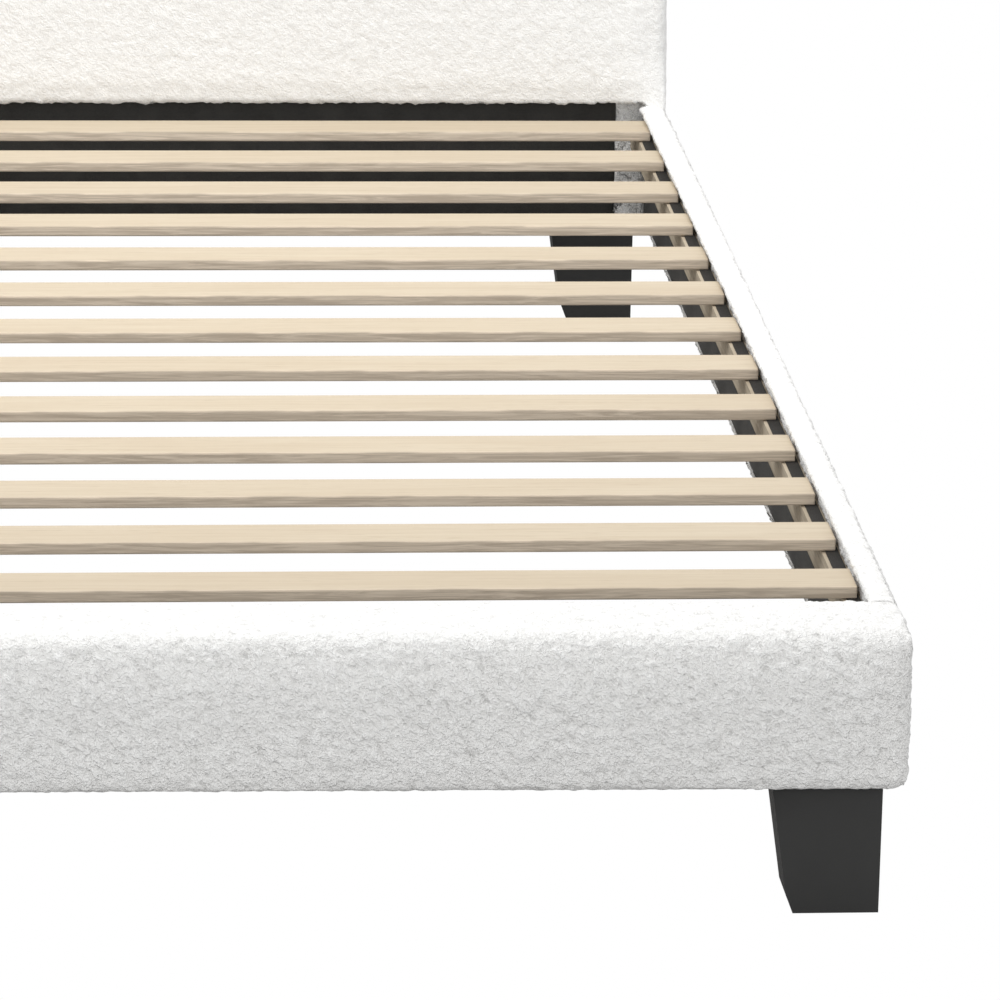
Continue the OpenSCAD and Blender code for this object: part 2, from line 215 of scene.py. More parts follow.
def rim_loop(quads):
    """The points round the open rim of a skin, in the direction of its quads."""
    starts, ends = quads.ravel(), np.roll(quads, -1, axis=1).ravel()
    forward = set(zip(starts.tolist(), ends.tolist()))
    following = {a: b for a, b in forward if (b, a) not in forward}
    loop = [min(following)]
    while following[loop[-1]] != loop[0]:
        loop.append(following[loop[-1]])
    return np.array(loop)


def along(points, loop):
    """How far round the loop each of its points is, from 0 to 1, with the end."""
    ring = points[np.append(loop, loop[0])]
    run = np.concatenate([[0], np.cumsum(np.linalg.norm(np.diff(ring, axis=0), axis=1))])
    return run / run[-1]


def zipped(points, outer, inner):
    """Triangles that close the gap between two rims that run side by side."""
    start = np.argmin(np.linalg.norm(points[inner] - points[outer[0]], axis=1))
    inner = np.roll(inner, -start)
    at_outer, at_inner = along(points, outer), along(points, inner)
    i = j = 0
    faces = []
    while i < len(outer) or j < len(inner):
        outer_i, inner_j = outer[i % len(outer)], inner[j % len(inner)]
        if j == len(inner) or i < len(outer) and at_outer[i + 1] <= at_inner[j + 1]:
            i += 1
            faces.append((outer[i % len(outer)], outer_i, inner_j))
        else:
            j += 1
            faces.append((outer_i, inner_j, inner[j % len(inner)]))
    return faces


def closed_shell(outer, inner):
    """One closed mesh from an outer and an inner skin with matching rims."""
    outer_points, outer_quads = outer
    inner_points, inner_quads = inner
    points = np.concatenate([outer_points, inner_points])
    shifted = inner_quads + len(outer_points)
    rim = zipped(points, rim_loop(outer_quads), rim_loop(shifted))
    faces = outer_quads.tolist() + shifted[:, ::-1].tolist() + [list(map(int, f)) for f in rim]
    return points, faces


# ---- soft padding

def inflated(points, quads, held, pressure):
    """Blows a held skin up a little with cloth simulation. Returns each point's movement."""
    mesh = bpy.data.meshes.new("trial_skin")
    mesh.from_pydata(points.tolist(), [], quads.tolist())
    trial = bpy.data.objects.new("trial_skin", mesh)
    scene = bpy.context.scene
    scene.collection.objects.link(trial)
    group = trial.vertex_groups.new(name="held")
    group.add(np.flatnonzero(held).tolist(), 1.0, "REPLACE")
    settings = trial.modifiers.new("Cloth", "CLOTH").settings
    settings.quality = 6
    settings.mass = 0.3
    settings.tension_stiffness = 12
    settings.compression_stiffness = 12
    settings.shear_stiffness = 4
    settings.bending_stiffness = 2
    settings.use_pressure = True
    settings.uniform_pressure_force = pressure
    settings.vertex_group_mass = "held"
    settings.effector_weights.gravity = 0
    for frame_number in range(1, CLOTH_FRAMES + 1):
        scene.frame_set(frame_number)
    result = trial.evaluated_get(bpy.context.evaluated_depsgraph_get()).data
    settled = np.empty(len(points) * 3)
    result.vertices.foreach_get("co", settled)
    scene.frame_set(1)
    bpy.data.objects.remove(trial)
    bpy.data.meshes.remove(mesh)
    return settled.reshape(-1, 3) - points


def limited(moves, cap):
    """The movements with none longer than cap."""
    length = np.linalg.norm(moves, axis=1, keepdims=True)
    return moves * cap * np.tanh(length / cap) / np.maximum(length, 1e-9)


def carried(moves, coarse, fine, reach):
    """The coarse points' movements, blended onto the fine points."""
    tree = kdtree.KDTree(len(coarse))
    for number, place in enumerate(coarse):
        tree.insert(place, number)
    tree.balance()
    result = np.zeros_like(fine)
    for number, place in enumerate(fine):
        near = tree.find_range(place, reach)
        if near:
            weights = np.array([(1 - (gap / reach) ** 2) ** 2 + 1e-9 for _, _, gap in near])
            chosen = moves[[index for _, index, _ in near]]
            result[number] = weights @ chosen / weights.sum()
    return result


def softened(fine, trial, held, pressure, cap):
    """The fine skin's points, pushed out as the coarse trial skin is when it is inflated."""
    points, quads = trial
    moves = limited(inflated(points, quads, held(points), pressure), cap)
    return fine + carried(moves, points, fine, 2.0 * TRIAL_PITCH)


# ---- looped fabric

def tuft_relief(points, seed):
    """Small leaning domes of unequal height with soft crevices between them, from 0 to 1."""
    dome_radius = 1.05
    crevice_width = 0.6
    bent = warped(points, 14 * MM, 3.0 * MM, seed)
    bent = warped(bent, 5 * MM, 1.2 * MM, seed + 5)
    lean = np.array(TUFT_LEAN)
    bent = bent - LEAN_STRETCH * (bent @ lean)[:, None] * lean
    first, second, own = two_nearest(bent, TUFT_SIZE, seed + 11)
    crevice = smooth_step(second - first, 0.0, crevice_width)
    dome = np.sqrt(np.clip(1 - (first / dome_radius) ** 2, 0, 1)) * (0.62 + 0.38 * own)
    depth = 0.1 + 0.5 * smooth_noise(points, 9 * MM, seed + 17)
    return dome * (1 - depth * (1 - crevice))


def clump_relief(points, seed):
    """Wider swellings that carry several tufts each, from 0 to 1."""
    valley_width = 0.5
    bent = warped(points, 24 * MM, 5 * MM, seed + 23)
    first, second, own = two_nearest(bent, CLUMP_SIZE, seed + 29)
    swell = smooth_step(second - first, 0.0, valley_width) * (0.6 + 0.4 * own)
    return 0.6 * swell + 0.4 * smooth_noise(points, 13 * MM, seed + 31)


def tufted(points, quads, free, strength, seed):
    """Raises the pile on a skin. free is 1 where it may stand proud and 0 where it is pressed.
    strength is one number, or one for each point.
    Returns the new points and the pile's height at each, from 0 to 1."""
    normals = point_normals(points, quads)
    tufts, clumps = tuft_relief(points, seed), clump_relief(points, seed)
    relief = TUFT_HEIGHT * (tufts - 0.5) + CLUMP_HEIGHT * (clumps - 0.5)
    pressed = TUFT_HEIGHT * (tufts - 1.0)
    height = np.where(free > 0.5, relief, 0.6 * pressed) * strength
    height = np.maximum(height, -DEEPEST_CREVICE)
    sway = np.stack([smooth_noise(points, 4 * MM, seed + 41 + k) - 0.5 for k in range(3)], axis=1)
    sway -= (sway * normals).sum(axis=1, keepdims=True) * normals
    # The pile's height also sets the painted shade and shadow in the material.
    pile = np.clip(0.72 * tufts + 0.28 * clumps, 0, 1)
    reach = SWAY * strength
    sway *= reach if np.isscalar(strength) else reach[:, None]
    return points + normals * height[:, None] + sway, pile


def frayed(points, quads, seed):
    """Pulls the rim of a skin out in short uneven tufts."""
    loop = rim_loop(quads)
    normals = point_normals(points, quads)[loop]
    tangent = points[np.roll(loop, -1)] - points[np.roll(loop, 1)]
    outward = np.cross(tangent, normals)
    outward /= np.maximum(np.linalg.norm(outward, axis=1, keepdims=True), 1e-9)
    short = smooth_noise(points[loop], 4.5 * MM, seed)
    wide = smooth_noise(points[loop], 13 * MM, seed + 1)
    points[loop] += outward * (FRINGE * (0.7 * short + 0.5 * wide - 0.25))[:, None]
    return points


def mesh_object(name, points, faces):
    mesh = bpy.data.meshes.new(name)
    mesh.from_pydata(points.tolist(), [], faces)
    mesh.update()
    piece = bpy.data.objects.new(name, mesh)
    bpy.context.scene.collection.objects.link(piece)
    return piece


def smooth_shaded(piece):
    piece.data.shade_smooth()
    return piece


def nap_of(points, quads, most):
    """How strongly the small loops show: less where the fabric faces up and is worn smooth."""
    facing_up = point_normals(points, quads)[:, Z]
    return most * (1 - 0.4 * smooth_step(facing_up, 0.55, 0.95))


def hand_over(piece, slot, stands_for):
    """Gives a new piece its material, its body and the CAD nodes that it stands for."""
    piece.data.materials.append(MATERIALS[slot])
    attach(piece, "root")
    if stands_for:
        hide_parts(*stands_for)


def store_on_points(piece, name, values):
    """Keeps one value for each point of a mesh, for its material to read."""
    layer = piece.data.attributes.new(name, "FLOAT", "POINT")
    layer.data.foreach_set("value", values.astype(np.float32))


def boucle_piece(name, outer, core, pile, stands_for, nap):
    """A closed shell of looped fabric and its foam, from an outer skin to the wood. nap is
    how strongly its small loops show."""
    points, faces = closed_shell(outer, core)
    piece = smooth_shaded(mesh_object(name, points, faces))
    in_core = len(points) - len(pile)
    # The material paints shade and shadow where this pile is low.
    store_on_points(piece, "pile", np.concatenate([pile, np.full(in_core, CORE_PILE)]))
    store_on_points(piece, "nap", np.concatenate([nap, np.ones(in_core)]))
    hand_over(piece, "boucle", stands_for)


def corner_box(nodes):
    """The lowest and highest corners of several CAD nodes together."""
    boxes = [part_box(node) for node in nodes]
    low = np.min([np.array(b[0]) for b in boxes], axis=0)
    high = np.max([np.array(b[1]) for b in boxes], axis=0)
    return low, high


# ---- foot rail

FOOT_EDGES = {
    (LOW, HIGH): (24 * MM, 46 * MM),
    (LOW, LOW): (8 * MM, 14 * MM),
    (HIGH, HIGH): even(4 * MM),
}
HEM_SAG_MIDDLE = 1.5 * MM
HEM_SAG_END = 5.5 * MM
FOOT_WINDOW_MARGIN = 14 * MM
FOOT_CORNERS = {(LOW, LOW): even(16 * MM), (HIGH, LOW): even(16 * MM)}
FOOT_ENDS = {
    (LOW, HIGH): even(12 * MM),
    (HIGH, HIGH): even(12 * MM),
    (LOW, LOW): even(11 * MM),
    (HIGH, LOW): even(11 * MM),
}


def foot_skin(low, high, window, pitch):
    """The foot rail's covering, open where the lining covers its inner face."""
    window_x, window_low, window_high = window
    lines = [
        grid_lines([low[X], -window_x, window_x, high[X]], pitch),
        grid_lines([low[Y], high[Y]], pitch),
        grid_lines([low[Z], window_low, window_high, high[Z]], pitch),
    ]

    def keep(axis, side, middles):
        if axis != Y or side == LOW:
            return np.ones(len(middles), bool)
        inside = (abs(middles[:, X]) < window_x) & (middles[:, Z] > window_low)
        return ~(inside & (middles[:, Z] < window_high))

    return box_skin(lines, keep)


def rounded_foot(points, low, high):
    """Rounds the foot rail's edges. Its back top edge stays full where the side rails meet it."""
    square = points.copy()
    round_edges(points, Y, Z, low, high, FOOT_EDGES)
    rail_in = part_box("side_rail_cover_right")[0][X]
    at_rails = smooth_step(abs(points[:, X]), rail_in - 2 * MM, rail_in + 3 * MM)
    at_back = points[:, Y] > high[Y] - 5 * MM
    points += (0.85 * at_rails * at_back)[:, None] * (square - points)
    round_edges(points, X, Y, low, high, FOOT_CORNERS)
    round_edges(points, X, Z, low, high, FOOT_ENDS)
    return points


def sagged_hem(points, low, high):
    """Lets the covering hang a little in front of the legs, most of all at the rail's ends."""
    near_front = 1 - smooth_step(points[:, Y], low[Y] + 6 * MM, low[Y] + 13 * MM)
    near_bottom = 1 - smooth_step(points[:, Z], low[Z], low[Z] + 40 * MM)
    sag = HEM_SAG_MIDDLE + (HEM_SAG_END - HEM_SAG_MIDDLE) * abs(points[:, X]) / high[X]
    points[:, Z] -= sag * near_front * near_bottom
    return points


def foot_rail_boucle():
    low, high = corner_box(["foot_rail_cover"])
    core_low, core_high = corner_box(["foot_rail_box"])
    lining_low, lining_high = corner_box(["foot_rail_lining"])
    window = (high[X] - FOOT_WINDOW_MARGIN, lining_low[Z], lining_high[Z])
    points, quads = foot_skin(low, high, window, FOOT_PITCH)
    points = rounded_foot(points, low, high)
    trial_points, trial_quads = foot_skin(low, high, window, TRIAL_PITCH)
    trial_points = rounded_foot(trial_points, low, high)

    def held(p):
        return (p[:, Y] > high[Y] - 12 * MM) | (p[:, Z] < low[Z] + 5 * MM)

    points = softened(points, (trial_points, trial_quads), held, pressure=3.5, cap=3 * MM)
    free = (points[:, Z] > low[Z] + 2 * MM) & (points[:, Y] < high[Y] - 1 * MM)
    points = sagged_hem(frayed(points, quads, seed=61), low, high)
    nap = nap_of(points, quads, most=1.0)
    points, pile = tufted(points, quads, free, strength=1.0, seed=3)
    core = foot_skin(core_low, core_high, window, CORE_PITCH)
    replaced = ["foot_rail_cover", "foot_rail_foam"]
    boucle_piece("foot_rail_boucle", (points, quads), core, pile, replaced, nap)


# ---- side rails

SIDE_BULGE_FOOT = 4.5 * MM
SIDE_BULGE_HEAD = 9.5 * MM
SIDE_TOP_R = even(14 * MM)
SIDE_OUTER_R = even(6 * MM)
SIDE_INNER_R = even(3 * MM)


def side_skin(low, high, window, pitch, inner_side):
    """A side rail's covering, open at its two ends and where the lining covers its inner face."""
    window_low, window_high = window
    lines = [
        grid_lines([low[X], high[X]], pitch),
        grid_lines([low[Y], high[Y]], pitch),
        grid_lines([low[Z], window_low, window_high, high[Z]], pitch),
    ]

    def keep(axis, side, middles):
        if axis == Y:
            return np.zeros(len(middles), bool)
        if axis == Z or side != inner_side:
            return np.ones(len(middles), bool)
        return (middles[:, Z] < window_low) | (middles[:, Z] > window_high)

    return box_skin(lines, keep)


def bulged_over_slats(points, low, high, toward_bed):
    """Swells the inner top edge of a side rail over the slat ends, more so at the headboard."""
    slat_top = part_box("slat_right_01")[1][Z]
    share = (points[:, Y] - low[Y]) / (high[Y] - low[Y])
    swell = SIDE_BULGE_FOOT + (SIDE_BULGE_HEAD - SIDE_BULGE_FOOT) * share
    height = smooth_step(points[:, Z], slat_top + 0.5 * MM, slat_top + 6 * MM)
    middle = (low[X] + high[X]) / 2
    inward = np.clip((points[:, X] - middle) * toward_bed / (high[X] - middle), 0, 1)
    points[:, X] += toward_bed * swell * height * inward
    return points


def side_rail_boucle(side):
    name = f"side_rail_cover_{side}"
    low, high = corner_box([name])
    core_low, core_high = corner_box([f"side_rail_board_{side}"])
    lining_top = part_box(f"side_rail_lining_{side}")[HIGH][Z]
    inner_side, outer_side = (LOW, HIGH) if side == "right" else (HIGH, LOW)
    window = (low[Z] + 1 * MM, lining_top)
    radii = {
        (outer_side, LOW): SIDE_OUTER_R,
        (outer_side, HIGH): SIDE_TOP_R,
        (inner_side, HIGH): SIDE_OUTER_R,
        (inner_side, LOW): SIDE_INNER_R,
    }
    points, quads = side_skin(low, high, window, SIDE_PITCH, inner_side)
    round_edges(points, X, Z, low, high, radii)
    trial_points, trial_quads = side_skin(low, high, window, TRIAL_PITCH, inner_side)
    round_edges(trial_points, X, Z, low, high, radii)
    toward_bed = -1 if side == "right" else 1

    def held(p):
        ends = (p[:, Y] < low[Y] + 4 * MM) | (p[:, Y] > high[Y] - 4 * MM)
        return ends | (p[:, Z] < low[Z] + 4 * MM)

    points = softened(points, (trial_points, trial_quads), held, pressure=2.0, cap=1.2 * MM)
    points = bulged_over_slats(points, low, high, toward_bed)
    free = (points[:, Z] > low[Z] + 1 * MM) & (points[:, Y] < high[Y] - 2 * MM)
    points = frayed(points, quads, seed=71)
    nap = nap_of(points, quads, most=0.9)
    at_foot = points[:, Y] < low[Y] + 1 * MM
    at_head = points[:, Y] > high[Y] - 1 * MM
    points, pile = tufted(points, quads, free, strength=0.75, seed=7)
    points[:, Y] = np.clip(points[:, Y], low[Y], high[Y])
    points[at_foot, Y] = low[Y]
    points[at_head, Y] = high[Y]
    core_window = (core_low[Z] + 1 * MM, lining_top)
    core = side_skin(core_low, core_high, core_window, CORE_PITCH, inner_side)
    boucle_piece(f"side_rail_boucle_{side}", (points, quads), core, pile, [name], nap)


# ---- headboard

HEAD_EDGE_R = 14 * MM
PAD_ROLL_R = 7 * MM
PAD_DROOP = 6 * MM
HANG = 3 * MM
RAIL_OVERLAP = 2.5 * MM
BACK_MARGIN = 39.5 * MM
PART_BEHIND_PAD = 60 * MM
HEAD_SECTION = {(LOW, HIGH): even(HEAD_EDGE_R), (HIGH, HIGH): even(4 * MM)}
HEAD_PLAN = {
    (LOW, LOW): even(HEAD_EDGE_R),
    (HIGH, LOW): even(HEAD_EDGE_R),
    (LOW, HIGH): even(3 * MM),
    (HIGH, HIGH): even(3 * MM),
}
HEAD_FRONT = {(LOW, HIGH): even(12 * MM), (HIGH, HIGH): even(12 * MM)}
UNDERSIDE = 0.6 * MM


def head_skin(low, high, fold, edge_x, back, pitch):
    """The headboard's covering: open below, at the lower panel and at the back lining.
    fold is the height of the pad's lower edge, and back is (half width, top) of the lining."""
    back_x, back_top = back
    roll = [fold - UNDERSIDE, fold - UNDERSIDE / 2, fold]
    arc_steps = max(2, round(PAD_ROLL_R * math.pi / 2 / pitch))
    for step in range(1, arc_steps):
        roll.append(fold + PAD_ROLL_R * (1 - math.cos(math.pi / 2 * step / arc_steps)))
    lines = [
        grid_lines([low[X], -back_x, -edge_x, edge_x, back_x, high[X]], pitch),
        grid_lines([low[Y], high[Y]], pitch),
        grid_lines([low[Z], *roll, fold + PAD_ROLL_R, back_top, high[Z]], pitch),
    ]

    def keep(axis, side, middles):
        across, height = abs(middles[:, X]), middles[:, Z]
        if axis == X or axis == Z:
            return np.full(len(middles), not (axis == Z and side == LOW))
        if side == LOW:
            return (across > edge_x) | (height > fold - UNDERSIDE)
        return (across > back_x) | (height > back_top)

    return box_skin(lines, keep)


def over_rail(points, rail_in):
    """1 where a point is above a side rail and 0 over the bed's inside."""
    return smooth_step(abs(points[:, X]), rail_in - 8 * MM, rail_in + 3 * MM)


def stepped_back(points, low, high, fold, step, rail_in):
    """Draws the front in below the pad. The pad rolls under at its lower edge, except over
    the side rails, where it stands on them."""
    z = points[:, Z]
    lift = np.clip(fold + PAD_ROLL_R - z, 0, PAD_ROLL_R)
    setback = PAD_ROLL_R - np.sqrt(PAD_ROLL_R ** 2 - lift ** 2)
    setback *= 1 - over_rail(points, rail_in)
    under = np.clip((fold - z) / UNDERSIDE, 0, 1)
    setback += under * (step - setback)
    depth = high[Y] - low[Y]
    points[:, Y] = high[Y] - (high[Y] - points[:, Y]) * (depth - setback) / depth
    return points


def lowered_over_rails(points, low, fold, rail_in, rail_top):
    """Brings the pad's lower edge down onto the side rails, where it runs past them."""
    reach_x, reach_z = SIDE_TOP_R
    outward = np.clip((abs(points[:, X]) + low[X] + reach_x) / reach_x, 0, 1)
    rounding = reach_z * (1 - np.sqrt(1 - outward ** 2))
    drop = (fold - rail_top + rounding) * over_rail(points, rail_in)
    z = points[:, Z]
    below = (z - low[Z]) / (fold - low[Z])
    above = 1 - smooth_step(z, fold, fold + 120 * MM)
    points[:, Z] = z - drop * np.where(z < fold, below, above)
    return points


def hanging_edge(points, fold, edge_x, seed):
    """Lets the pile of the pad's lower edge hang down unevenly over the lower panel."""
    near = 1 - smooth_step(points[:, Z], fold + 1 * MM, fold + 7 * MM)
    near *= (points[:, Z] > fold - UNDERSIDE) & (abs(points[:, X]) < edge_x + 20 * MM)
    fine = smooth_noise(points, 6 * MM, seed)
    tufts = fine + 0.2 * smooth_noise(points, 18 * MM, seed + 1)
    points[:, Z] -= HANG * near * tufts
    return points


class HeadLayout:
    """Where the headboard's covering lies, read from the CAD nodes round it."""

    def __init__(self):
        self.low, self.high = corner_box(["headboard_cover"])
        panel_low, panel_high = corner_box(["headboard_lower_lining"])
        rail_low, rail_high = corner_box(["side_rail_cover_right"])
        lining_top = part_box("headboard_back_lining")[HIGH][Z]
        self.fold = panel_high[Z] - PAD_DROOP
        self.step = panel_low[Y] - MM - self.low[Y]
        self.edge_x = panel_high[X]
        self.rail_in = rail_low[X]
        self.rail_top = rail_high[Z] - RAIL_OVERLAP
        self.back = (self.high[X] - BACK_MARGIN, lining_top)
        self.front_limit = self.high[Y] - PART_BEHIND_PAD


def shaped_head(lay, pitch):
    """The headboard's covering with its edges rounded and its pad rolled under, before the
    pile. Its corners stay nearly square in plan where they stand on the side rails."""
    low, high = lay.low, lay.high
    points, quads = head_skin(low, high, lay.fold, lay.edge_x, lay.back, pitch)
    round_edges(points, Y, Z, low, high, HEAD_SECTION)
    square = points.copy()
    round_edges(points, X, Y, low, high, HEAD_PLAN)
    near_rail = 1 - smooth_step(points[:, Z:], lay.rail_top + 10 * MM, lay.rail_top + 90 * MM)
    points += 0.8 * near_rail * (square - points) * (points[:, Y:Z] < lay.front_limit)
    round_edges(points, X, Z, low, high, HEAD_FRONT)
    points = stepped_back(points, low, high, lay.fold, lay.step, lay.rail_in)
    return lowered_over_rails(points, low, lay.fold, lay.rail_in, lay.rail_top), quads


def piled_head(lay, points, quads, free):
    """Raises the headboard's pile: shallow on the pad, and coarse on the margins beside the lower
    panel, where painted near-black shadow marks its deepest crevices. Returns the points, their pile
    and their nap."""
    beside_panel = (points[:, Z] < lay.fold - UNDERSIDE) & (points[:, Y] < lay.front_limit)
    beside_panel &= abs(points[:, X]) < lay.rail_in
    strength = np.where(beside_panel, 1.5, 0.5)
    points, pile = tufted(points, quads, free, strength, seed=13)
    # On the margins the lowest pile is cut to 0, which the material paints as near-black crevice
    # shadow; on the pad the pile is raised, so it gets less painted shade.
    painted_shadow_level = np.quantile(pile[beside_panel], 0.14)
    pile = np.where(beside_panel, np.clip(6 * (pile - painted_shadow_level), 0, 1), 0.35 + 0.65 * pile)
    nap = np.where(beside_panel, 1.2, 0.27)
    return points, pile, nap


def headboard_boucle():
    lay = HeadLayout()

    def held(p):
        return (p[:, Y] > lay.high[Y] - 12 * MM) | (p[:, Z] < lay.fold + 1 * MM)

    points, quads = shaped_head(lay, HEAD_PITCH)
    trial = shaped_head(lay, TRIAL_PITCH)
    points = softened(points, trial, held, pressure=3.5, cap=3.5 * MM)
    beside_rail = (abs(points[:, X]) > lay.rail_in - 2 * MM) & (points[:, Y] < lay.front_limit)
    free = ~(beside_rail & (points[:, Z] < lay.rail_top + 1 * MM))
    points = hanging_edge(frayed(points, quads, seed=81), lay.fold, lay.edge_x, seed=83)
    points, pile, nap = piled_head(lay, points, quads, free)
    wood = ["headboard_face_board", "headboard_stile_left", "headboard_stile_right"]
    core_low, core_high = corner_box(wood)
    core_low[Z] = lay.low[Z]
    core = head_skin(core_low, core_high, lay.fold, lay.edge_x, lay.back, CORE_PITCH)
    replaced = ["headboard_cover", "headboard_foam"]
    boucle_piece("headboard_boucle", (points, quads), core, pile, replaced, nap)


# ---- black lining cloth

def rippled_cloth(low, high, axis, seed):
    """A flat grid across the box, with a faint ripple and an uneven lower hem. Returns its
    points, and their numbers as a grid."""
    u, v = [k for k in (X, Y, Z) if k != axis]
    us = grid_lines([low[u], high[u]], LINING_PITCH)
    vs = grid_lines([low[v], high[v]], LINING_PITCH)
    points = np.empty((len(us), len(vs), 3))
    points[..., u] = us[:, None]
    points[..., v] = vs[None, :]
    points[..., axis] = (low[axis] + high[axis]) / 2
    flat = points.reshape(-1, 3)
    from_sides = np.minimum(flat[:, u] - low[u], high[u] - flat[:, u])
    from_ends = np.minimum(flat[:, v] - low[v], high[v] - flat[:, v])
    edge = np.minimum(from_sides, from_ends)
    pulls = np.sin(flat[:, u] / (38 * MM) * math.pi) * np.exp(-edge / (30 * MM))
    ripple = 0.25 * MM * pulls + 0.5 * MM * (smooth_noise(flat, 90 * MM, seed) - 0.5)
    flat[:, axis] += ripple * np.clip(edge / (12 * MM), 0, 1)
    hem = np.clip(1 - (flat[:, v] - low[v]) / (4 * MM), 0, 1)
    flat[:, v] += 2.5 * MM * hem * (smooth_noise(flat, 8 * MM, seed + 1) - 0.3)
    return flat, np.arange(len(flat)).reshape(len(us), len(vs))


def lining_sheet(name, node, axis, facing, seed, box=None):
    """A thin cloth stretched over a flat opening."""
    low, high = box or corner_box([node])
    u, v = [k for k in (X, Y, Z) if k != axis]
    points, index = rippled_cloth(low, high, axis, seed)
    right_handed = (u + 1) % 3 == v
    quads = quads_between(index, right_handed != (facing > 0))
    piece = smooth_shaded(mesh_object(name, points, quads.tolist()))
    thick = piece.modifiers.new("cloth_thickness", "SOLIDIFY")
    thick.thickness = 0.7 * MM
    thick.offset = 0
    hand_over(piece, "lining", [node] if node else [])


def headboard_linings():
    lining_sheet(
        "headboard_lower_panel_lining", "headboard_lower_lining", Y, facing=-1, seed=91)
    low, high = corner_box(["headboard_back_lining"])
    back_y = high[Y] - 0.5 * MM
    edge = high[X] - 34 * MM
    back_box = (np.array([-edge, back_y, low[Z]]), np.array([edge, back_y, high[Z] + 2 * MM]))
    lining_sheet(
        "headboard_back_sheet", "headboard_back_lining", Y, facing=1, seed=92,
        box=back_box)
    under_low = np.array([low[X], low[Y], low[Z] + 0.5 * MM])
    under_high = np.array([high[X], back_y, low[Z] + 0.5 * MM])
    lining_sheet(
        "headboard_under_sheet", None, Z, facing=-1, seed=93,
        box=(under_low, under_high))


def rail_linings():
    lining_sheet(
        "foot_rail_inner_lining", "foot_rail_lining", Y, facing=1, seed=94)
    for side, facing in (("left", 1), ("right", -1)):
        node = f"side_rail_lining_{side}"
        low, high = corner_box([node])
        low[Z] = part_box(f"side_rail_cover_{side}")[LOW][Z] - 0.5 * MM
        high[Z] += 3 * MM
        lining_sheet(
            f"side_rail_inner_lining_{side}", node, X, facing, seed=95, box=(low, high))


# ---- node materials

class Shader:
    """A small helper that adds and links the nodes of one material."""

    def __init__(self, name):
        self.material = bpy.data.materials.new(name)
        self.material.use_nodes = True
        self.tree = self.material.node_tree
        self.surface = self.tree.nodes["Principled BSDF"]
        self.place = self.add("ShaderNodeTexCoord").outputs["Object"]

    def add(self, kind, **settings):
        node = self.tree.nodes.new(kind)
        for key, value in settings.items():
            setattr(node, key, value)
        return node

    def put(self, value, socket):
        if isinstance(value, bpy.types.NodeSocket):
            self.tree.links.new(value, socket)
        else:
            socket.default_value = value

    def fixed(self, **values):
        """Sets the surface shader's own sockets."""
        for key, value in values.items():
            self.surface.inputs[key.replace("_", " ")].default_value = value

    def scaled(self, scale):
        """The object's own coordinates, multiplied by a scale for each axis."""
        node = self.add("ShaderNodeMapping")
        self.put(self.place, node.inputs["Vector"])
        node.inputs["Scale"].default_value = scale
        return node.outputs["Vector"]

    def noise(self, vector, scale, detail=2.0, distortion=0.0, roughness=0.5):
        node = self.add("ShaderNodeTexNoise")
        self.put(vector, node.inputs["Vector"])
        node.inputs["Scale"].default_value = scale
        node.inputs["Detail"].default_value = detail
        node.inputs["Distortion"].default_value = distortion
        node.inputs["Roughness"].default_value = roughness
        return node.outputs["Fac"]

    def cells(self, vector, scale, feature="F1"):
        node = self.add("ShaderNodeTexVoronoi", feature=feature)
        self.put(vector, node.inputs["Vector"])
        node.inputs["Scale"].default_value = scale
        return node.outputs["Distance"]

    def math(self, operation, a, b=0.0, c=0.0):
        node = self.add("ShaderNodeMath", operation=operation)
        for value, socket in zip((a, b, c), node.inputs):
            self.put(value, socket)
        return node.outputs[0]

    def between(self, value, low, high, to_low=0.0, to_high=1.0):
        """Turns a value from low to high into one from to_low to to_high, softly."""
        node = self.add("ShaderNodeMapRange", interpolation_type="SMOOTHSTEP")
        self.put(value, node.inputs["Value"])
        node.inputs["From Min"].default_value = low
        node.inputs["From Max"].default_value = high
        node.inputs["To Min"].default_value = to_low
        node.inputs["To Max"].default_value = to_high
        return node.outputs["Result"]

    def blend(self, factor, first, second):
        node = self.add("ShaderNodeMix", data_type="RGBA")
        self.put(factor, node.inputs["Factor"])
        for value, socket in ((first, node.inputs["A"]), (second, node.inputs["B"])):
            if not isinstance(value, bpy.types.NodeSocket):
                value = (*value, 1.0) if len(value) == 3 else value
            chosen = [s for s in node.inputs if s.name == socket.name and s.type == "RGBA"][0]
            self.put(value, chosen)
        return [s for s in node.outputs if s.type == "RGBA"][0]

    def colour(self, value):
        self.put(value, self.surface.inputs["Base Color"])

    def rough(self, value):
        self.put(value, self.surface.inputs["Roughness"])

    def bump(self, height, distance, strength=1.0):
        node = self.add("ShaderNodeBump")
        node.inputs["Distance"].default_value = distance
        node.inputs["Strength"].default_value = strength
        self.put(height, node.inputs["Height"])
        self.tree.links.new(node.outputs["Normal"], self.surface.inputs["Normal"])

    def facing(self, axis):
        """How much the surface faces along an axis, from -1 to 1."""
        normal = self.add("ShaderNodeNewGeometry").outputs["True Normal"]
        split = self.add("ShaderNodeSeparateXYZ")
        self.put(normal, split.inputs[0])
        return split.outputs[axis]


